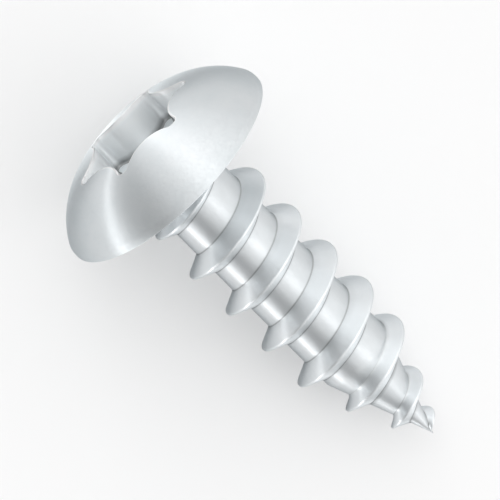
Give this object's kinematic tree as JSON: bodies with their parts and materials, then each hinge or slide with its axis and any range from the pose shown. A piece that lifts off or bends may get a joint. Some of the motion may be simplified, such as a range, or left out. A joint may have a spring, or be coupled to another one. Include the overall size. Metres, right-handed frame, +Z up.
{
  "type": "truss head self-tapping screw",
  "caption": "Self-tapping sheet metal screw: low domed truss head with a lobed driving recess, coarse right-hand thread up to the head and a gimlet point.",
  "frame": {"origin": "on the surface the screw lies on, under the middle of its bounding box", "axes": "+Z up from that surface; the screw's axis lies in the XZ plane, with the head at -X and the point at +X, and slopes down towards the point by 13.15 degrees, because the screw rests on the rim of its head and on the crest of its thread"},
  "size_m": [0.0178, 0.0098, 0.0097],
  "materials": {
    "zinc_plated_steel": "bright clear zinc plating, smooth, with a soft gloss"
  },
  "bodies": {
    "root": {"screw": "zinc_plated_steel"}
  },
  "joints": []
}
